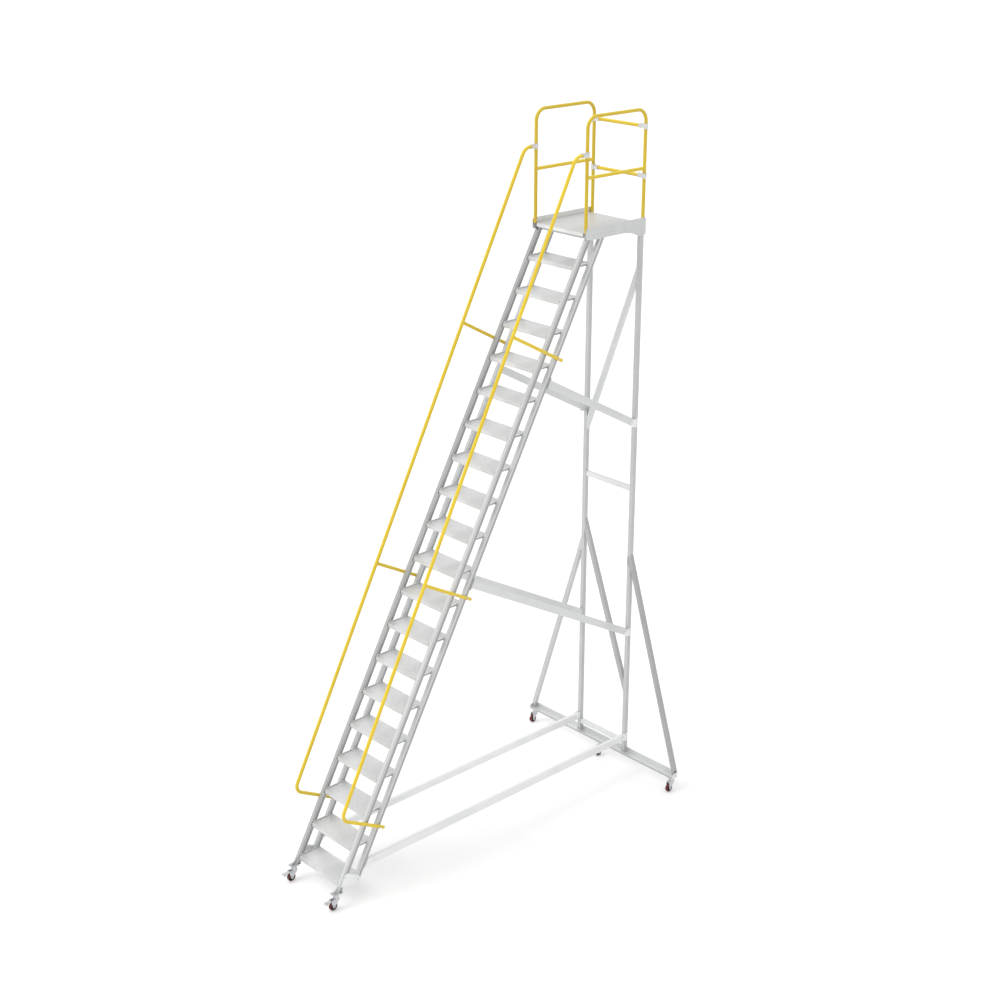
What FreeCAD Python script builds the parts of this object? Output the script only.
import FreeCAD, Part
import math
import os

# Mobile platform ladder: a steep flight of treads between paired stringers, a guarded
# platform at the top, an upright rear frame on a wide cross beam, and five casters.
# X is across the ladder with the right side at +X, Y is the climbing direction from
# front to rear, Z is up with the floor at Z = 0. Millimetres and degrees.

V = FreeCAD.Vector
os.makedirs("parts", exist_ok=True)

# ---------------------------------------------------------------------------
# Dimensions shared by several sections
# ---------------------------------------------------------------------------
Y_SHIFT = -1895.2          # puts the middle of the whole footprint at Y = 0

RISE = 282.5               # height of one step
FIRST_TREAD_Z = 232.5      # top of the lowest tread
N_TREADS = 19              # treads below the platform
DECK_Z = FIRST_TREAD_Z + RISE * N_TREADS
SLOPE = 0.554              # run of the ladder per unit of rise
COS = 1.0 / math.sqrt(1.0 + SLOPE * SLOPE)
SIN = SLOPE * COS

WALL = 3.0                 # wall of the rectangular tubes
STR_W = 34.0               # stringer width across X
STR_D = 50.0               # stringer depth, square to the slope
INNER_X = 288.5            # inner face of both stringers
OUTER_X = INNER_X + STR_W
REAR_OFF = 156.0           # front face of the rear stringer, square to the slope
STRINGER_OFF = {"front": 0.0, "rear": REAR_OFF}
BACK_OFF = REAR_OFF + STR_D    # back face of the rear stringer
REAR_FOOT_ALONG = 300.0    # lower end of the rear stringer along the slope

SIDE_BEAM_H = 60.0
STR_TOP_Z = DECK_Z - SIDE_BEAM_H   # underside of the side beams
LEG = 40.0                 # rear leg and side beam width
SIDE_BEAM_X0 = 294.0
SIDE_X = SIDE_BEAM_X0 + LEG    # outer face of side beams, legs and braces
LEG_Y0 = 3763.4
LEG_FOOT_Z = 155.0
DECK_FRONT = 3058.0
DECK_REAR = 3777.0
PLATE_T = 4.0              # side skirts, joint plates and foot ties

TUBE_R = 16.0              # guard and handrail tube
TUBE_WALL = 2.0
POST_X = 318.0
POST_FRONT_Y = 3066.0
POST_REAR_Y = 3801.5

BEAM_BOTTOM = 150.0        # underside of everything that sits on a caster
BEAM_T = 5.0
CASTER_PLATE_HALF_X = 32.0
CASTER_PLATE_HALF_Y = 40.0
CASTERS = {                # kingpin positions in X and Y
    "fl": (-310.0, 84.0),
    "fr": (310.0, 84.0),
    "rl": (-974.0, 3767.7),
    "rm": (0.0, 3767.7),
    "rr": (974.0, 3767.7),
}

BOLT_R = 4.0
BOLT_HEAD_H = 5.3
BOLT_ACROSS = 13.0         # head and nut across the flats
FRAME_GRIP = PLATE_T + WALL    # one plate and one tube wall

SIDES = ((1, "right"), (-1, "left"))   # sign of X and name


# ---------------------------------------------------------------------------
# Shape helpers
# ---------------------------------------------------------------------------
def box(x0, x1, y0, y1, z0, z1):
    return Part.makeBox(x1 - x0, y1 - y0, z1 - z0, V(x0, y0, z0))


def cyl(base, axis, radius, height):
    return Part.makeCylinder(radius, height, V(*base), V(*axis))


def rod(start, end, radius):
    run = end - start
    return Part.makeCylinder(radius, run.Length, start, run)


def pipe(start, end):
    return rod(start, end, TUBE_R).cut(rod(start, end, TUBE_R - TUBE_WALL))


def prism_yz(points, x0, x1):
    wire = Part.makePolygon([V(x0, y, z) for y, z in points + points[:1]])
    return Part.Face(wire).extrude(V(x1 - x0, 0, 0))


def prism_xz(points, y0, y1):
    wire = Part.makePolygon([V(x, y0, z) for x, z in points + points[:1]])
    return Part.Face(wire).extrude(V(0, y1 - y0, 0))


def mirror_x(shape):
    return shape.mirror(V(0, 0, 0), V(1, 0, 0))


def fuse_all(shapes):
    return shapes[0].multiFuse(shapes[1:]) if len(shapes) > 1 else shapes[0]


def on_slope(along, off):
    # (y, z) from the distance up the slope and the distance square to it, rearwards
    return (along * SIN + off * COS, along * COS - off * SIN)


def slope_y(z, off):
    # Y of a line parallel to the slope, at height z
    return z * SLOPE + off / COS


def slope_prism(points, x0, x1):
    # points are (along, off) pairs
    return prism_yz([on_slope(along, off) for along, off in points], x0, x1)


def hexagon(base, axis, across, height):
    radius = across / math.sqrt(3.0)
    corners = []
    for i in range(7):
        angle = math.radians(60 * i)
        corners.append(V(radius * math.cos(angle), radius * math.sin(angle), 0))
    prism = Part.Face(Part.makePolygon(corners)).extrude(V(0, 0, height))
    prism.Placement = FreeCAD.Placement(V(*base), FreeCAD.Rotation(V(0, 0, 1), V(*axis)))
    return prism


def wire_path(points, radii):
    # straight runs joined by round bends, with one radius for each corner
    edges = []
    start = points[0]
    for before, corner, after, radius in zip(points, points[1:], points[2:], radii):
        back = (before - corner).normalize()
        ahead = (after - corner).normalize()
        half = back.getAngle(ahead) / 2.0
        setback = radius / math.tan(half)
        bend_start = corner + back * setback
        bend_end = corner + ahead * setback
        inward = (back + ahead).normalize()
        centre = corner + inward * (radius / math.sin(half))
        edges.append(Part.makeLine(start, bend_start))
        edges.append(Part.Arc(bend_start, centre - inward * radius, bend_end).toShape())
        start = bend_end
    edges.append(Part.makeLine(start, points[-1]))
    return Part.Wire(edges)


def sweep(path, radius):
    edge = path.Edges[0]
    start = edge.valueAt(edge.FirstParameter)
    axis = edge.tangentAt(edge.FirstParameter)
    profile = Part.Wire([Part.makeCircle(radius, start, axis)])
    return path.makePipeShell([profile], True, True)


# ---------------------------------------------------------------------------
# Pieces and their holes, by node name
# ---------------------------------------------------------------------------
PARTS = {}
DRILL = {}


def add(name, shape):
    PARTS.setdefault(name, []).append(shape)


def add_both(name, shape):
    # a right-hand piece and its mirror image under one name
    add(name, shape)
    add(name, mirror_x(shape))


def add_sides(name, shape):
    # a right-hand piece and its mirror image under separate names
    add(name + "_right", shape)
    add(name + "_left", mirror_x(shape))


def drill(names, tool):
    for name in names:
        DRILL.setdefault(name, []).append(tool)


# ---------------------------------------------------------------------------
# Fasteners: a hexagon head, a shank and a nut, all along one axis
# ---------------------------------------------------------------------------
def bolt(seat, axis, grip, nut, tail):
    shape = hexagon(seat - axis * BOLT_HEAD_H, axis, BOLT_ACROSS, BOLT_HEAD_H)
    shape = shape.fuse(Part.makeCylinder(BOLT_R, grip + nut + tail, seat, axis))
    return shape.fuse(hexagon(seat + axis * grip, axis, BOLT_ACROSS, nut))


def fasten(name, nodes, seat, axis, grip, nut=6.5, tail=1.5):
    # the head sits at the seat and the shank runs along the axis through the grip
    seat = V(*seat)
    axis = V(*axis).normalize()
    add(name, bolt(seat, axis, grip, nut, tail))
    drill(nodes, Part.makeCylinder(BOLT_R, grip + 6.0, seat - axis * 3.0, axis))


def fasten_sides(name, nodes, x, y, z, grip, **sizes):
    # one bolt on each side of the ladder, running inwards from x
    for sign, side in SIDES:
        names = [node.format(side=side) for node in nodes]
        fasten(name, names, (sign * x, y, z), (-sign, 0, 0), grip, **sizes)


def side_bolts(y, z, nodes):
    # through a side plate and one tube wall
    fasten_sides("frame_bolts", nodes, SIDE_X + PLATE_T, y, z, FRAME_GRIP)


# ---------------------------------------------------------------------------
# Stringers: rectangular tubes in parallel pairs on each side
# ---------------------------------------------------------------------------
FRONT_FOOT_T = 6.0
FRONT_FOOT_Z = BEAM_BOTTOM + FRONT_FOOT_T  # underside of the front stringer tube
FRONT_FOOT_REAR = 58.0     # foot plate behind the kingpin
GUSSET_X = (303.0, 308.0)
GUSSET_RUN = 44.0
GUSSET_TOP_Z = 214.0


def stringer_tube(off0, lower_end):
    off1 = off0 + STR_D
    outer = lower_end + [(slope_y(STR_TOP_Z, off1), STR_TOP_Z),
                         (slope_y(STR_TOP_Z, off0), STR_TOP_Z)]
    low, high = -400.0, STR_TOP_Z + 40.0   # the bore runs past both ends
    bore = [(slope_y(low, off0 + WALL), low), (slope_y(low, off1 - WALL), low),
            (slope_y(high, off1 - WALL), high), (slope_y(high, off0 + WALL), high)]
    return prism_yz(outer, INNER_X, OUTER_X).cut(prism_yz(bore, INNER_X + WALL, OUTER_X - WALL))


def front_stringer():
    # cut level at the foot, with a plate above the caster and a gusset in front
    foot_y = slope_y(FRONT_FOOT_Z, 0)
    tube = stringer_tube(0.0, [(foot_y, FRONT_FOOT_Z),
                               (slope_y(FRONT_FOOT_Z, STR_D), FRONT_FOOT_Z)])
    pin_x, pin_y = CASTERS["fr"]
    plate = box(pin_x - CASTER_PLATE_HALF_X, pin_x + CASTER_PLATE_HALF_X,
                pin_y - CASTER_PLATE_HALF_Y, pin_y + FRONT_FOOT_REAR,
                BEAM_BOTTOM, FRONT_FOOT_Z)
    gusset = prism_yz([(foot_y - GUSSET_RUN, FRONT_FOOT_Z), (foot_y, FRONT_FOOT_Z),
                       (slope_y(GUSSET_TOP_Z, 0), GUSSET_TOP_Z)], *GUSSET_X)
    return tube.fuse([plate, gusset])


def rear_stringer():
    # cut square at the foot
    return stringer_tube(REAR_OFF, [on_slope(REAR_FOOT_ALONG, REAR_OFF),
                                    on_slope(REAR_FOOT_ALONG, BACK_OFF)])


add_sides("stringer_front", front_stringer())
add_sides("stringer_rear", rear_stringer())

# ---------------------------------------------------------------------------
# Treads: grooved top, turned-down lips and notched end plates, riveted on
# ---------------------------------------------------------------------------
TREAD_DEPTH = 239.0
TREAD_TOP_T = 4.0
TREAD_LIP_H = 38.0
TREAD_LIP_T = 3.5
TREAD_HEM = 12.0           # inward turn at the bottom of each lip
TREAD_HEM_T = 3.0
TREAD_END_T = 4.0
NOTCH_DROP = 16.0          # top of the end plate notch below the tread top
GROOVES = 10
GROOVE_W = 4.0
GROOVE_D = 1.2
GROOVE_TAPER = 0.6
RIVET_R = 3.5
RIVET_DROP = 21.0          # rivet below the tread top
RIVET_HEAD_R = 6.0
RIVET_HEAD_H = 2.4
COLLAR_R = 5.2
COLLAR_H = 3.0


def tread(z):
    y0 = slope_y(z, 0)
    y1 = y0 + TREAD_DEPTH
    bottom = z - TREAD_LIP_H
    hem = bottom + TREAD_HEM_T
    under = z - TREAD_TOP_T
    y0_in, y1_in = y0 + TREAD_LIP_T, y1 - TREAD_LIP_T
    profile = [(y0, z)]
    pitch = TREAD_DEPTH / (GROOVES + 1)
    half = GROOVE_W / 2
    for i in range(1, GROOVES + 1):
        y = y0 + i * pitch
        profile += [(y - half, z), (y - half + GROOVE_TAPER, z - GROOVE_D),
                    (y + half - GROOVE_TAPER, z - GROOVE_D), (y + half, z)]
    profile += [(y1, z), (y1, bottom), (y1 - TREAD_HEM, bottom), (y1 - TREAD_HEM, hem),
                (y1_in, hem), (y1_in, under), (y0_in, under), (y0_in, hem),
                (y0 + TREAD_HEM, hem), (y0 + TREAD_HEM, bottom), (y0, bottom)]
    body = prism_yz(profile, -INNER_X, INNER_X)
    notch_z = z - NOTCH_DROP
    end = [(y0_in, hem), (y0_in + 62, hem), (y0_in + 72, notch_z), (y1_in - 72, notch_z),
           (y1_in - 62, hem), (y1_in, hem), (y1_in, under), (y0_in, under)]
    ends = [prism_yz(end, INNER_X - TREAD_END_T, INNER_X),
            prism_yz(end, -INNER_X, -INNER_X + TREAD_END_T)]
    return body.fuse(ends).removeSplitter()


def rivet(x, y, z, sign):
    # button head inside the tread end, collar inside the stringer
    axis = (sign, 0, 0)
    grip = TREAD_END_T + WALL
    shape = cyl((x - sign * RIVET_HEAD_H, y, z), axis, RIVET_HEAD_R, RIVET_HEAD_H)
    shape = shape.fuse(cyl((x, y, z), axis, RIVET_R, grip + COLLAR_H))
    return shape.fuse(cyl((x + sign * grip, y, z), axis, COLLAR_R, COLLAR_H))


def add_tread(z):
    shape = tread(z)
    holes = []
    for which, off in STRINGER_OFF.items():
        rivet_z = z - RIVET_DROP
        rivet_y = slope_y(rivet_z, off + STR_D / 2)
        for sign, side in SIDES:
            x = sign * (INNER_X - TREAD_END_T)
            add("tread_rivets", rivet(x, rivet_y, rivet_z, sign))
            hole = cyl((x - sign * 2.0, rivet_y, rivet_z), (sign, 0, 0), RIVET_R, 12.0)
            holes.append(hole)
            drill(["stringer_%s_%s" % (which, side)], hole)
    add("treads", shape.cut(fuse_all(holes)))


for i in range(N_TREADS):
    add_tread(FIRST_TREAD_Z + RISE * i)

# ---------------------------------------------------------------------------
# Platform: ribbed panel on a frame, with side skirts
# ---------------------------------------------------------------------------
DECK_HALF = 293.5
DECK_T = 5.0
DECK_EDGE_T = 4.0
DECK_EDGE_H = 30.0
RIB_H = 26.0
RIB_Y = (3630.0, 3500.0, 3370.0, 3240.0)
SIDE_BEAM_FRONT = 3083.0
CROSS_Y = (3104.0, 3420.0, 3722.0)     # front faces of the cross channels
CROSS_W = 44.0
SKIRT_TOP_Z = 5645.0
SKIRT_OUTLINE = [          # y, z
    (3047, 5560), (3062, 5543), (3120, 5536.5), (3210, 5535), (3300, 5537.5),
    (3420, 5539), (3540, 5537.5), (3640, 5522), (3735, 5484), (3812, 5484),
    (3823, 5496), (3823, 5630), (3808, SKIRT_TOP_Z), (3062, SKIRT_TOP_Z), (3047, 5630),
]


def deck_panel():
    under = DECK_Z - DECK_T
    bottom = DECK_Z - DECK_EDGE_H
    rib_z = DECK_Z - RIB_H
    front_in = DECK_FRONT + DECK_EDGE_T
    rear_in = DECK_REAR - DECK_EDGE_T
    profile = [(DECK_FRONT, DECK_Z), (DECK_REAR, DECK_Z), (DECK_REAR, bottom),
               (rear_in, bottom), (rear_in, under)]
    for y in RIB_Y:
        profile += [(y + 2, under), (y + 2, rib_z), (y - 2, rib_z), (y - 2, under)]
    # the front edge turns inwards at its foot
    profile += [(front_in, under), (front_in, bottom + 3), (DECK_FRONT + 14, bottom + 3),
                (DECK_FRONT + 14, bottom), (DECK_FRONT, bottom)]
    return prism_yz(profile, -DECK_HALF, DECK_HALF)


def side_beam():
    outer = box(SIDE_BEAM_X0, SIDE_X, SIDE_BEAM_FRONT, DECK_REAR, STR_TOP_Z, DECK_Z)
    return outer.cut(box(SIDE_BEAM_X0 + WALL, SIDE_X - WALL, SIDE_BEAM_FRONT - 1,
                         DECK_REAR + 1, STR_TOP_Z + WALL, DECK_Z - WALL))


def cross_channel(y):
    # open at the bottom
    top = DECK_Z - DECK_EDGE_H
    outer = box(-SIDE_BEAM_X0, SIDE_BEAM_X0, y, y + CROSS_W, STR_TOP_Z, top)
    return outer.cut(box(-SIDE_BEAM_X0, SIDE_BEAM_X0, y + WALL, y + CROSS_W - WALL,
                         STR_TOP_Z - 1, top - WALL))


def deck_frame():
    beam = side_beam()
    frame = beam.fuse(mirror_x(beam))
    for y in CROSS_Y:
        frame = frame.fuse(cross_channel(y))
    return frame.removeSplitter()


add("deck_panel", deck_panel())
add("deck_frame", deck_frame())
add_sides("skirt", prism_yz(SKIRT_OUTLINE, SIDE_X, SIDE_X + PLATE_T))

# ---------------------------------------------------------------------------
# Guard: one bent hoop per side, a knee rail in each, two bars at the rear
# ---------------------------------------------------------------------------
POST_FRONT_FOOT_Z = DECK_Z
POST_REAR_FOOT_Z = 5542.0
TOP_RAIL_Z = 6608.0
MID_RAIL_Z = 6085.0
HOOP_BEND = 105.0
REAR_BAR_Z = (6016.0, 6456.0)
FITTING_R = 21.5           # sleeve around a post
FITTING_H = 48.0
SOCKET_R = FITTING_R - 0.8     # socket around the joining tube
RING_R = FITTING_R + 0.7       # ring at the end of the socket


def hoop(x):
    path = wire_path([V(x, POST_FRONT_Y, POST_FRONT_FOOT_Z), V(x, POST_FRONT_Y, TOP_RAIL_Z),
                      V(x, POST_REAR_Y, TOP_RAIL_Z), V(x, POST_REAR_Y, POST_REAR_FOOT_Z)],
                     (HOOP_BEND, HOOP_BEND))
    return sweep(path, TUBE_R).cut(sweep(path, TUBE_R - TUBE_WALL))


def midrail(x):
    # ends coped to the posts
    rail = pipe(V(x, POST_FRONT_Y, MID_RAIL_Z), V(x, POST_REAR_Y, MID_RAIL_Z))
    bend_z = TOP_RAIL_Z - HOOP_BEND
    front, rear = [rod(V(x, y, foot_z), V(x, y, bend_z), TUBE_R)
                   for y, foot_z in ((POST_FRONT_Y, POST_FRONT_FOOT_Z),
                                     (POST_REAR_Y, POST_REAR_FOOT_Z))]
    return rail.cut(front.fuse(rear))


def fitting(x, y, z, socket, ring, tube):
    # sleeve on a post with a socket for the joining tube
    shape = cyl((x, y, z - FITTING_H / 2), (0, 0, 1), FITTING_R, FITTING_H)
    shape = shape.fuse(socket)
    shape = shape.fuse(ring)
    shape = shape.cut(cyl((x, y, z - 60), (0, 0, 1), TUBE_R, 120))
    return shape.cut(tube)


def add_rear_bar(z):
    end_x = POST_X - FITTING_R + 0.5
    start, end = V(-end_x, POST_REAR_Y, z), V(end_x, POST_REAR_Y, z)
    add("rear_guard_bars", pipe(start, end))
    for sign, _ in SIDES:
        x = sign * POST_X
        inwards = (-sign, 0, 0)
        socket = cyl((x, POST_REAR_Y, z), inwards, SOCKET_R, 70)
        ring = cyl((x - sign * 62, POST_REAR_Y, z), inwards, RING_R, 8)
        add("rear_bar_fittings",
            fitting(x, POST_REAR_Y, z, socket, ring, rod(start, end, TUBE_R)))


for sign, side in SIDES:
    add("guard_hoop_" + side, hoop(sign * POST_X))
    add("guard_midrails", midrail(sign * POST_X))
for z in REAR_BAR_Z:
    add_rear_bar(z)

# ---------------------------------------------------------------------------
# Handrails: bent tube beside each pair of stringers, with two arms
# ---------------------------------------------------------------------------
RAIL_X = OUTER_X + TUBE_R      # rail centre line at its lower end
RAIL_LOW = (840.0, -292.0)     # along the slope, off the slope
RAIL_HIGH = (6800.0, -478.0)
RAIL_LOW_BEND = 80.0
RAIL_TOP_BEND = 105.0
RAIL_END_Y = 3044.0
RAIL_END_Z = 6287.0
RAIL_TOP_BEND_Y = 2868.0       # a point on the short top run
RAIL_TOP_BEND_Z = 6284.0
ARM_ALONG = (5285.0, 3013.0)
ARM_R = 15.6                   # a size down from the rail
ARM_X = OUTER_X + ARM_R        # arms run along the outer faces of the stringers
ARM_BEND = 300.0
ARM_CRANK_OFF = -60.0          # gentle bend just in front of the stringer
ARM_END_OFF = 238.0
# tubes crossing the stringers: along the slope, radius; the last is the rail's lower end
CROSSING_TUBES = [(along, ARM_R) for along in ARM_ALONG] + [(RAIL_LOW[0], TUBE_R)]
TOP_RUN = V(0, RAIL_END_Y - RAIL_TOP_BEND_Y, RAIL_END_Z - RAIL_TOP_BEND_Z)


def rail_off(along):
    share = (along - RAIL_LOW[0]) / (RAIL_HIGH[0] - RAIL_LOW[0])
    return RAIL_LOW[1] + share * (RAIL_HIGH[1] - RAIL_LOW[1])


def handrail(sign):
    def point(x, along, off):
        y, z = on_slope(along, off)
        return V(sign * x, y, z)

    # in side view the long run is extended until it meets the short top run
    low, high = point(RAIL_X, *RAIL_LOW), point(RAIL_X, *RAIL_HIGH)
    run = high - low
    det = run.y * TOP_RUN.z - run.z * TOP_RUN.y
    reach = ((RAIL_END_Y - low.y) * TOP_RUN.z - (RAIL_END_Z - low.z) * TOP_RUN.y) / det
    corner = V(sign * POST_X, low.y + run.y * reach, low.z + run.z * reach)
    path = wire_path([point(RAIL_X, RAIL_LOW[0], ARM_END_OFF), low, corner,
                      V(sign * POST_X, RAIL_END_Y, RAIL_END_Z)],
                     (RAIL_LOW_BEND, RAIL_TOP_BEND))
    outer, inner = sweep(path, TUBE_R), sweep(path, TUBE_R - TUBE_WALL)
    for along in ARM_ALONG:
        off = rail_off(along)
        rail_z = on_slope(along, off)[1]
        share = (rail_z - low.z) / (corner.z - low.z)
        start = point(RAIL_X + (POST_X - RAIL_X) * share, along, off)
        crank = point(ARM_X, along, ARM_CRANK_OFF)
        end = point(ARM_X, along, ARM_END_OFF)
        bore_end = point(ARM_X, along, ARM_END_OFF + 2.0)
        start = start + (crank - start).normalize() * 2.0
        outer = outer.fuse(sweep(wire_path([start, crank, end], (ARM_BEND,)), ARM_R))
        inner = inner.fuse(sweep(wire_path([start, crank, bore_end], (ARM_BEND,)),
                                 ARM_R - TUBE_WALL))
    return outer.cut(inner)


def handrail_clamp(sign):
    end = V(sign * POST_X, RAIL_END_Y, RAIL_END_Z)
    ahead = V(*TOP_RUN).normalize()
    return fitting(sign * POST_X, POST_FRONT_Y, RAIL_END_Z,
                   rod(end - ahead * 44, end + ahead * 12, SOCKET_R),
                   rod(end - ahead * 46, end - ahead * 38, RING_R),
                   rod(end - ahead * 60, end, TUBE_R))


for sign, side in SIDES:
    add("handrail_" + side, handrail(sign))
    add("handrail_clamps", handrail_clamp(sign))

# ---------------------------------------------------------------------------
# Rear support: legs, rungs, diagonals, outrigger braces and cross beam
# ---------------------------------------------------------------------------
RUNG_H = 50.0
RUNG_D = 30.0
RUNG_Z = (244.0, 2995.0)   # undersides of the two rungs
STRUT_WALL = 2.5           # rungs, diagonals and outrigger braces
STRUT_D = 38.0             # diagonals and outrigger braces, across Y
STRUT_Y0 = LEG_Y0 + (LEG - STRUT_D) / 2
STRUT_Y1 = STRUT_Y0 + STRUT_D
DIAG_W = 48.0
OUTRIGGER_W = 43.0
# centre lines: x and z of both ends, cut off at the legs and the cross beam
UPPER_DIAG = (-340.0, 3418.0, 340.0, 5246.0)
LOWER_DIAG = (-340.0, 2600.0, 340.0, 769.6)
OUTRIGGER = (297.0, 2388.0, 1027.4, 105.0)
LAP_TOP_Z = 2318.0
LAP_LOW_Z = 2160.0
LAP_T = 3.0
BEAM_HALF = 1014.0
BEAM_Y0 = 3727.0
BEAM_Y1 = 3808.4
BEAM_LIP = 22.0
BEAM_FLANGE = 53.0
BEAM_END_T = 4.0           # closing plates of the cross beam


def rear_leg():
    outer = box(SIDE_BEAM_X0, SIDE_X, LEG_Y0, LEG_Y0 + LEG, LEG_FOOT_Z, STR_TOP_Z)
    return outer.cut(box(SIDE_BEAM_X0 + WALL, SIDE_X - WALL, LEG_Y0 + WALL,
                         LEG_Y0 + LEG - WALL, LEG_FOOT_Z - 1, STR_TOP_Z + 1))


def rung(z):
    y0 = LEG_Y0 + (LEG - RUNG_D) / 2
    outer = box(-SIDE_BEAM_X0, SIDE_BEAM_X0, y0, y0 + RUNG_D, z, z + RUNG_H)
    return outer.cut(box(-SIDE_BEAM_X0 - 1, SIDE_BEAM_X0 + 1, y0 + STRUT_WALL,
                         y0 + RUNG_D - STRUT_WALL, z + STRUT_WALL, z + RUNG_H - STRUT_WALL))


def strut(line, width, clip_x, clip_z):
    # straight hollow strut in the plane of the legs, trimmed to a range of x and z
    x0, z0, x1, z1 = line
    length = math.hypot(x1 - x0, z1 - z0)
    ux, uz = (x1 - x0) / length, (z1 - z0) / length

    def quad(half, extra):
        nx, nz = -uz * half, ux * half
        ex, ez = ux * extra, uz * extra
        return [(x0 - ex + nx, z0 - ez + nz), (x0 - ex - nx, z0 - ez - nz),
                (x1 + ex - nx, z1 + ez - nz), (x1 + ex + nx, z1 + ez + nz)]

    outer = prism_xz(quad(width / 2, 0.0), STRUT_Y0, STRUT_Y1)
    bore = prism_xz(quad(width / 2 - STRUT_WALL, 1.0),
                    STRUT_Y0 + STRUT_WALL, STRUT_Y1 - STRUT_WALL)
    return outer.cut(bore).common(box(*clip_x, STRUT_Y0 - 5, STRUT_Y1 + 5, *clip_z))


def outrigger_x(z, edge):
    # X of the outer (1) or inner (-1) edge of the outrigger brace at a height
    x0, z0, x1, z1 = OUTRIGGER
    lean = (x1 - x0) / (z1 - z0)
    return x0 + lean * (z - z0) + edge * OUTRIGGER_W / 2 * math.hypot(1.0, lean)


def outrigger_brace():
    # meets the outer face of the leg, with a lap plate on the front of the leg
    brace = strut(OUTRIGGER, OUTRIGGER_W, (SIDE_X, BEAM_HALF - BEAM_END_T),
                  (LEG_FOOT_Z, 2500.0))
    edge = [(outrigger_x(LAP_TOP_Z, 1), LAP_TOP_Z), (outrigger_x(LAP_LOW_Z, 1), LAP_LOW_Z),
            (outrigger_x(LAP_LOW_Z, -1), LAP_LOW_Z)]
    lap = [(SIDE_BEAM_X0, LAP_TOP_Z)] + edge + [(SIDE_X, 2196.0), (SIDE_BEAM_X0, 2226.0)]
    filler = prism_xz([(SIDE_X, LAP_TOP_Z)] + edge, LEG_Y0, STRUT_Y0).common(
        box(SIDE_X, 500.0, 0, 5000, 2150.0, LAP_TOP_Z))
    plate = prism_xz(lap, LEG_Y0 - LAP_T, LEG_Y0).fuse(filler)
    return brace.fuse(plate).removeSplitter()


def crossbeam():
    # folded channel with a low front lip, a tall rear flange and closed ends
    floor = BEAM_BOTTOM + BEAM_T
    lip = BEAM_BOTTOM + BEAM_LIP
    flange = BEAM_BOTTOM + BEAM_FLANGE
    front_in, rear_in = BEAM_Y0 + BEAM_T, BEAM_Y1 - BEAM_T
    profile = [(BEAM_Y0, BEAM_BOTTOM), (BEAM_Y1, BEAM_BOTTOM), (BEAM_Y1, flange),
               (rear_in, flange), (rear_in, floor), (front_in, floor),
               (front_in, lip), (BEAM_Y0, lip)]
    end_x = BEAM_HALF - BEAM_END_T
    beam = prism_yz(profile, -end_x, end_x)
    end = prism_yz([(BEAM_Y0, BEAM_BOTTOM), (BEAM_Y1, BEAM_BOTTOM), (BEAM_Y1, flange),
                    (BEAM_Y1 - 34, flange), (BEAM_Y0, lip + 14)], end_x, BEAM_HALF)
    return beam.fuse([end, mirror_x(end)]).removeSplitter()


add_sides("rear_leg", rear_leg())
for z in RUNG_Z:
    add("rear_rungs", rung(z))
for name, line in (("upper", UPPER_DIAG), ("lower", LOWER_DIAG)):
    add("diagonal_" + name, strut(line, DIAG_W, (-SIDE_BEAM_X0, SIDE_BEAM_X0), (300, 5500)))
add_sides("outrigger_brace", outrigger_brace())
add("crossbeam", crossbeam())

# ---------------------------------------------------------------------------
# Braces square to the slope and the two base rails, bolted to the legs
# ---------------------------------------------------------------------------
BRACE_H = 68.0
BRACE_W = 34.0
BRACE_X0 = SIDE_X - BRACE_W
BRACE_PLATE_T = 4.0        # plates against the back of the rear stringers
BRACE_LEG_Z = {"upper": 3691.0, "lower": 1508.0}   # centre lines at the legs
BRACE_BOLT_X = 309.0
BASE_RAIL_MID_Z = 330.0
JOINT_OUTLINE = [          # y and z from the front face of the leg and the centre line
    (-52, -20), (-44, -28), (28, -44), (38, -36), (38, 36), (28, 44), (-44, 36), (-52, 28),
]


def stringer_plate(along, half):
    back = BACK_OFF + BRACE_PLATE_T
    return slope_prism([(along + half, BACK_OFF), (along + half, back),
                        (along - half, back), (along - half, BACK_OFF)], INNER_X, SIDE_X)


def brace(along):
    # the far end is cut upright along the front face of the leg
    def leg_off(along):
        return (LEG_Y0 - along * SIN) / COS

    top, bottom = along + BRACE_H / 2, along - BRACE_H / 2
    start = BACK_OFF + BRACE_PLATE_T
    outer = slope_prism([(top, start), (top, leg_off(top)), (bottom, leg_off(bottom)),
                         (bottom, start)], BRACE_X0, SIDE_X)
    bore_end = leg_off(along) + 60
    bore = slope_prism([(top - WALL, BACK_OFF), (top - WALL, bore_end),
                        (bottom + WALL, bore_end), (bottom + WALL, BACK_OFF)],
                       BRACE_X0 + WALL, SIDE_X - WALL)
    return outer.cut(bore).fuse(stringer_plate(along, 54)).removeSplitter()


def base_rail():
    z0, z1 = BASE_RAIL_MID_Z - BRACE_H / 2, BASE_RAIL_MID_Z + BRACE_H / 2
    gap = BRACE_PLATE_T / COS
    rail = prism_yz([(slope_y(z0, BACK_OFF) + gap, z0), (LEG_Y0, z0), (LEG_Y0, z1),
                     (slope_y(z1, BACK_OFF) + gap, z1)], BRACE_X0, SIDE_X)
    rail = rail.cut(box(BRACE_X0 + WALL, SIDE_X - WALL, 300.0, LEG_Y0 + 5,
                        z0 + WALL, z1 - WALL))
    along = slope_y(BASE_RAIL_MID_Z, BACK_OFF) * SIN + BASE_RAIL_MID_Z * COS
    return rail.fuse(stringer_plate(along, 52)).removeSplitter()


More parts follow.
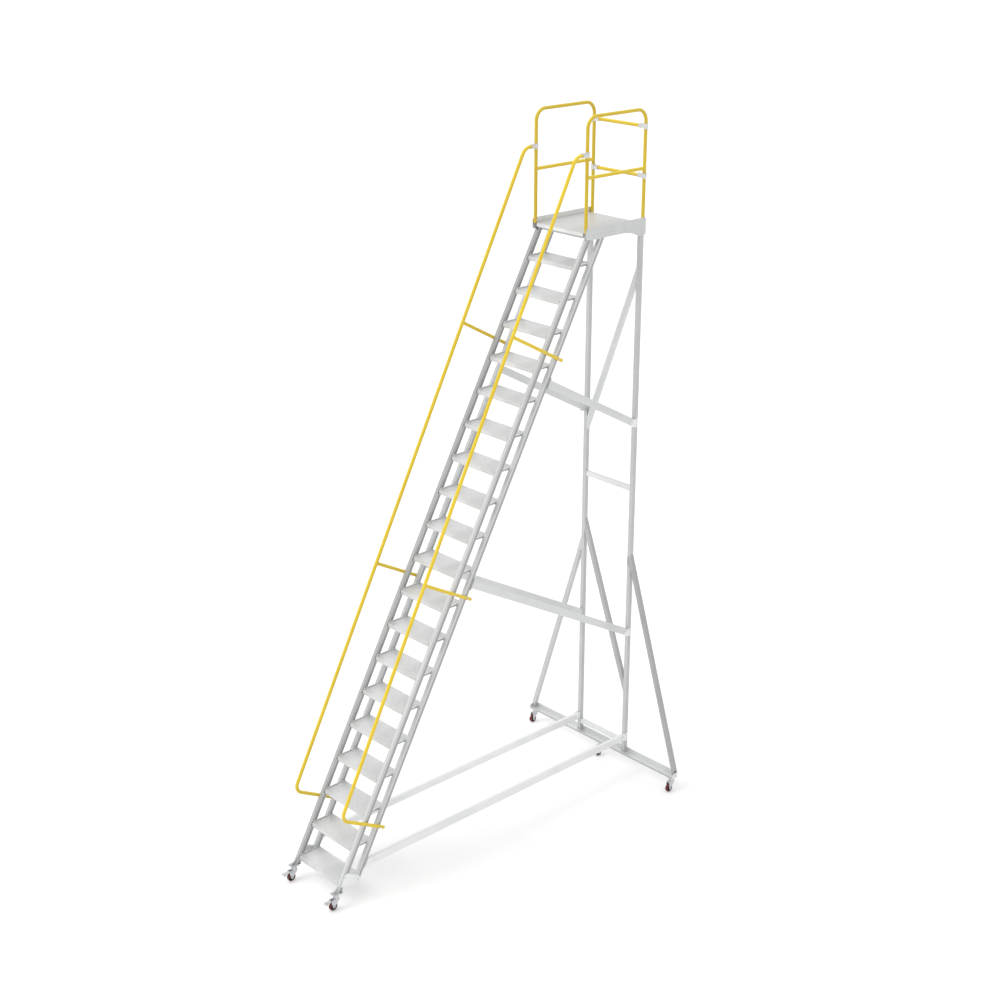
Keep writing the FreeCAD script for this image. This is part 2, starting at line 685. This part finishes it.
def add_leg_joint(z, member):
    # plate over a leg and the member that meets it, with three bolts
    outline = [(LEG_Y0 + dy, z + dz) for dy, dz in JOINT_OUTLINE]
    add_both("leg_joint_plates", prism_yz(outline, SIDE_X, SIDE_X + PLATE_T))
    side_bolts(LEG_Y0 + LEG / 2, z + 20, ["leg_joint_plates", "rear_leg_{side}"])
    side_bolts(LEG_Y0 + LEG / 2, z - 20, ["leg_joint_plates", "rear_leg_{side}"])
    side_bolts(LEG_Y0 - 32, z + 17, ["leg_joint_plates", member])


def add_braces(name, leg_z):
    along = LEG_Y0 * SIN + leg_z * COS
    add_both(name, brace(along))
    add_leg_joint(leg_z, name)
    for step in (44.0, -44.0):
        y, z = on_slope(along + step, BACK_OFF + BRACE_PLATE_T)
        for sign, side in SIDES:
            fasten("frame_bolts", [name, "stringer_rear_" + side],
                   (sign * BRACE_BOLT_X, y, z), (0, -COS, SIN), FRAME_GRIP)


for level, leg_z in BRACE_LEG_Z.items():
    add_braces(level + "_braces", leg_z)
add_both("base_rails", base_rail())
add_leg_joint(BASE_RAIL_MID_Z, "base_rails")

# ---------------------------------------------------------------------------
# Bolts of the skirts, guard posts and handrails
# ---------------------------------------------------------------------------
for y in (3150.0, 3350.0, 3550.0, 3720.0):
    side_bolts(y, 5572.0, ["skirt_{side}", "deck_frame"])
for y in (LEG_Y0 + 12, LEG_Y0 + 28):
    side_bolts(y, 5508.0, ["skirt_{side}", "rear_leg_{side}"])

# guard posts through the skirts
for y, z in ((POST_FRONT_Y, 5622.0), (POST_REAR_Y, 5568.0), (POST_REAR_Y, 5622.0)):
    fasten_sides("post_bolts", ["skirt_{side}", "guard_hoop_{side}"], SIDE_X + PLATE_T, y, z,
                 PLATE_T + 2 * TUBE_R, nut=5.5, tail=0.8)

# handrail arms and lower ends to both stringers
for along, radius in CROSSING_TUBES:
    for which, off in STRINGER_OFF.items():
        y, z = on_slope(along, off + STR_D / 2)
        fasten_sides("arm_bolts", ["handrail_{side}", "stringer_" + which + "_{side}"],
                     OUTER_X + 2 * radius, y, z, 2 * radius + WALL)

# ---------------------------------------------------------------------------
# Foot ties join the lower ends of the front and rear stringers
# ---------------------------------------------------------------------------
TIE_OUTLINE = [            # along the slope, off the slope
    (238.0, 20.0), (300.0, 8.0), (352.0, 8.0), (372.0, 30.0), (372.0, 176.0),
    (352.0, 200.0), (306.0, 200.0), (300.0, 192.0), (262.0, 100.0),
]
TIE_BOLTS = {"front": (330.0, 25.0), "rear": (335.0, 181.0)}   # along, off

add_both("foot_ties", slope_prism(TIE_OUTLINE, OUTER_X, OUTER_X + PLATE_T))
for which, place in TIE_BOLTS.items():
    fasten_sides("frame_bolts", ["foot_ties", "stringer_" + which + "_{side}"],
                 OUTER_X + PLATE_T, *on_slope(*place), FRAME_GRIP)

# ---------------------------------------------------------------------------
# Plugs in the rear stringer feet, the handrail arms and the rails' lower ends
# ---------------------------------------------------------------------------
def stringer_plug():
    def block(low, high, inset):
        front, back = REAR_OFF + inset, BACK_OFF - inset
        return slope_prism([(low, front), (low, back), (high, back), (high, front)],
                           INNER_X + inset, OUTER_X - inset)

    cap = block(REAR_FOOT_ALONG - 4.0, REAR_FOOT_ALONG, 1)
    core = block(REAR_FOOT_ALONG, REAR_FOOT_ALONG + 14, WALL)
    return cap.fuse(core).removeSplitter()


def tube_plug(sign, along, radius):
    end, outside, inside = [V(sign * (OUTER_X + radius), *on_slope(along, off))
                            for off in (ARM_END_OFF, ARM_END_OFF + 3.0, ARM_END_OFF - 12.0)]
    return rod(end, outside, TUBE_R - 0.6).fuse(rod(inside, end, radius - TUBE_WALL))


add_both("tube_plugs", stringer_plug())
for along, radius in CROSSING_TUBES:
    for sign, _ in SIDES:
        add("tube_plugs", tube_plug(sign, along, radius))

# ---------------------------------------------------------------------------
# Casters, drawn with the kingpin at the origin; the wheel trails towards -Y
# ---------------------------------------------------------------------------
BRAKED = ("fl", "fr")
CASTER_PLATE_T = 5.0
CASTER_PLATE_Z = BEAM_BOTTOM - CASTER_PLATE_T
CASTER_BOLT_DX, CASTER_BOLT_DY = 24.0, 26.0
CASTER_BOLT_LEN = CASTER_PLATE_T + BEAM_T - 0.2
RUN_CLEAR = 0.05           # radial running clearance
END_CLEAR = 0.2            # clearance between turning faces
RACE_R = 26.0
RACE_Z = 118.0
CROWN_TOP = RACE_Z - END_CLEAR
CROWN_LOW = 103.0
CROWN_T = 4.0
PIN_R = 6.0
PIN_HEAD_Z = 96.0          # underside of the kingpin head
CHEEK_IN, CHEEK_OUT = 17.5, 20.5
CHEEK_BOSS_R = 15.0
TRAIL = 35.0
AXLE_R = 6.0
WHEEL_R = 40.0
WHEEL_HALF = 14.0
HUB_R = 13.0
HUB_HALF = CHEEK_IN - END_CLEAR
WEB_HALF = 4.0
RIM_R = 29.5
RIM_HALF = WHEEL_HALF - 1.5
RIM_T = 4.0
SPOKES = 6
TYRE_ROUND = 5.0
TYRE_STEPS = 6             # facets in each rounded edge
PEDAL_PIN_R = 3.0
PEDAL_Y = -52.0            # brake pedal pivot
PEDAL_Z = 96.0
PEDAL_ARM = [              # y, z from the pivot
    (0, 6), (-12, 7), (-44, -2), (-64, -4), (-66, -9), (-44, -8), (-14, -1), (0, -6),
]
PEDAL_PAD = [(-36, 0.5), (-66, -3), (-69, -12), (-63, -9.5), (-38, -7)]   # as above


def wheel_cyl(x0, x1, radius):
    # cylinder about the wheel axis
    return cyl((x0, -TRAIL, WHEEL_R), (1, 0, 0), radius, x1 - x0)


def pedal_cyl(x0, x1, radius):
    # cylinder about the pedal pivot
    return cyl((x0, PEDAL_Y, PEDAL_Z), (1, 0, 0), radius, x1 - x0)


def top_plate():
    # plate, bearing race, and kingpin with its head below the fork crown
    up = (0, 0, 1)
    plate = box(-CASTER_PLATE_HALF_X, CASTER_PLATE_HALF_X,
                -CASTER_PLATE_HALF_Y, CASTER_PLATE_HALF_Y, CASTER_PLATE_Z, BEAM_BOTTOM)
    upright = [edge for edge in plate.Edges
               if abs(edge.Vertexes[0].Point.z - edge.Vertexes[1].Point.z) > 4]
    plate = plate.makeFillet(8.0, upright)
    plate = plate.fuse(cyl((0, 0, RACE_Z), up, RACE_R, CASTER_PLATE_Z - RACE_Z))
    plate = plate.fuse(cyl((0, 0, PIN_HEAD_Z), up, PIN_R, RACE_Z - PIN_HEAD_Z + 2))
    return plate.fuse(hexagon((0, 0, PIN_HEAD_Z), up, 19.0,
                              CROWN_LOW - END_CLEAR - PIN_HEAD_Z))


def cheek_outline(braked):
    # from the crown down to a round boss about the axle
    crown = CROWN_LOW + CROWN_T
    points = [(24.0, crown), (24.0, CROWN_LOW - 6)]
    for step in range(0, 181, 15):
        angle = math.radians(20 - step)
        points.append((-TRAIL + CHEEK_BOSS_R * math.cos(angle),
                       WHEEL_R + CHEEK_BOSS_R * math.sin(angle)))
    if braked:
        return points + [(-62.0, CROWN_LOW - 15), (-62.0, CROWN_LOW), (-56.0, crown)]
    return points + [(-48.0, CROWN_LOW - 8), (-44.0, crown)]


def fork(braked):
    shape = cyl((0, 0, CROWN_LOW), (0, 0, 1), RACE_R + 1.0, CROWN_TOP - CROWN_LOW)
    shape = shape.fuse(box(-CHEEK_OUT, CHEEK_OUT, -30.0, 24.0, CROWN_LOW, CROWN_LOW + CROWN_T))
    for x0 in (CHEEK_IN, -CHEEK_OUT):
        shape = shape.fuse(prism_yz(cheek_outline(braked), x0, x0 + CHEEK_OUT - CHEEK_IN))
    shape = shape.cut(cyl((0, 0, CROWN_LOW - 18), (0, 0, 1), PIN_R + RUN_CLEAR, 60))
    shape = shape.cut(wheel_cyl(-40, 40, AXLE_R))
    if braked:
        # pedal pin with a round head at each end
        shape = shape.fuse(pedal_cyl(-CHEEK_OUT - 2, CHEEK_OUT + 2, PEDAL_PIN_R))
        for x0 in (CHEEK_OUT, -CHEEK_OUT - 2):
            shape = shape.fuse(pedal_cyl(x0, x0 + 2, PEDAL_PIN_R + 2))
    return shape


def axle():
    shape = wheel_cyl(-CHEEK_OUT, CHEEK_OUT, AXLE_R)
    shape = shape.fuse(hexagon((CHEEK_OUT, -TRAIL, WHEEL_R), (1, 0, 0), 17.0, 6.0))
    shape = shape.fuse(hexagon((-CHEEK_OUT, -TRAIL, WHEEL_R), (-1, 0, 0), 17.0, 7.0))
    return shape.fuse(wheel_cyl(-CHEEK_OUT - 8.5, -CHEEK_OUT, AXLE_R))


def hub():
    # bored barrel, web, rim and spokes
    rim = wheel_cyl(-RIM_HALF, RIM_HALF, RIM_R).cut(
        wheel_cyl(-RIM_HALF - 1, RIM_HALF + 1, RIM_R - RIM_T))
    shape = wheel_cyl(-HUB_HALF, HUB_HALF, HUB_R)
    shape = shape.fuse(wheel_cyl(-WEB_HALF, WEB_HALF, RIM_R))
    shape = shape.fuse(rim)
    spoke_half = RIM_HALF - 2.5
    for i in range(SPOKES):
        spoke = box(-spoke_half, spoke_half, 10.0, RIM_R - 3.0, -2.0, 2.0)
        spoke.rotate(V(0, 0, 0), V(1, 0, 0), 360 / SPOKES * i + 30)
        spoke.translate(V(0, -TRAIL, WHEEL_R))
        shape = shape.fuse(spoke)
    return shape.cut(wheel_cyl(-30, 30, AXLE_R + RUN_CLEAR)).removeSplitter()


def tyre():
    # section with rounded edges, revolved about the axle
    flat_x = WHEEL_HALF - TYRE_ROUND
    flat_z = WHEEL_R - TYRE_ROUND
    section = [V(-RIM_HALF, 0, RIM_R), V(RIM_HALF, 0, RIM_R),
               V(WHEEL_HALF, 0, RIM_R + 2.0), V(WHEEL_HALF, 0, flat_z)]
    for i in range(1, TYRE_STEPS + 1):
        angle = math.radians(90.0 * i / TYRE_STEPS)
        section.append(V(flat_x + TYRE_ROUND * math.cos(angle), 0,
                         flat_z + TYRE_ROUND * math.sin(angle)))
    for i in range(TYRE_STEPS):
        angle = math.radians(90.0 * i / TYRE_STEPS)
        section.append(V(-flat_x - TYRE_ROUND * math.sin(angle), 0,
                         flat_z + TYRE_ROUND * math.cos(angle)))
    section += [V(-WHEEL_HALF, 0, flat_z), V(-WHEEL_HALF, 0, RIM_R + 2.0),
                V(-RIM_HALF, 0, RIM_R)]
    shape = Part.Face(Part.makePolygon(section)).revolve(V(0, 0, 0), V(1, 0, 0), 360)
    shape.translate(V(0, -TRAIL, WHEEL_R))
    return shape


def pedal():
    # barrel on the pin, arm over the wheel and a wide foot pad
    def blade(outline, half):
        return prism_yz([(PEDAL_Y + y, PEDAL_Z + z) for y, z in outline], -half, half)

    barrel = pedal_cyl(-CHEEK_IN + 0.3, CHEEK_IN - 0.3, 6.0)
    shape = barrel.fuse([blade(PEDAL_ARM, CHEEK_IN - 2.0), blade(PEDAL_PAD, 25.0)])
    return shape.cut(pedal_cyl(-30, 30, PEDAL_PIN_R + RUN_CLEAR)).removeSplitter()


def add_caster_bolt(x, y, node):
    up = (0, 0, 1)
    head = hexagon((x, y, CASTER_PLATE_Z - BOLT_HEAD_H), up, BOLT_ACROSS, BOLT_HEAD_H)
    add("caster_bolts", head.fuse(cyl((x, y, CASTER_PLATE_Z), up, BOLT_R, CASTER_BOLT_LEN)))
    drill(["caster_top_plates", node],
          cyl((x, y, CASTER_PLATE_Z - 1), up, BOLT_R, CASTER_BOLT_LEN + 1))


def add_caster(tag, pin_x, pin_y):
    def place(name, shape):
        shape.translate(V(pin_x, pin_y, 0))
        add(name, shape)

    place("caster_top_plates", top_plate())
    place("caster_fork_" + tag, fork(tag in BRAKED))
    place("caster_axle_" + tag, axle())
    place("wheel_hub_" + tag, hub())
    place("wheel_tyre_" + tag, tyre())
    if tag in BRAKED:
        place("brake_pedal_" + tag, pedal())
    carriers = {"fl": "stringer_front_left", "fr": "stringer_front_right"}
    for dx in (-CASTER_BOLT_DX, CASTER_BOLT_DX):
        for dy in (-CASTER_BOLT_DY, CASTER_BOLT_DY):
            add_caster_bolt(pin_x + dx, pin_y + dy, carriers.get(tag, "crossbeam"))


for tag, (pin_x, pin_y) in CASTERS.items():
    add_caster(tag, pin_x, pin_y)


# ---------------------------------------------------------------------------
# Drill, centre the footprint and write one file per piece
# ---------------------------------------------------------------------------
def finish(name, shapes):
    solids = []
    for shape in shapes:
        near = [tool for tool in DRILL.get(name, [])
                if tool.BoundBox.intersect(shape.BoundBox)]
        if near:
            shape = shape.cut(fuse_all(near))
        solids += shape.Solids
    for solid in solids:
        solid.translate(V(0, Y_SHIFT, 0))
    piece = solids[0] if len(solids) == 1 else Part.makeCompound(solids)
    piece.exportStep("parts/%s.step" % name)


for name, shapes in PARTS.items():
    finish(name, shapes)
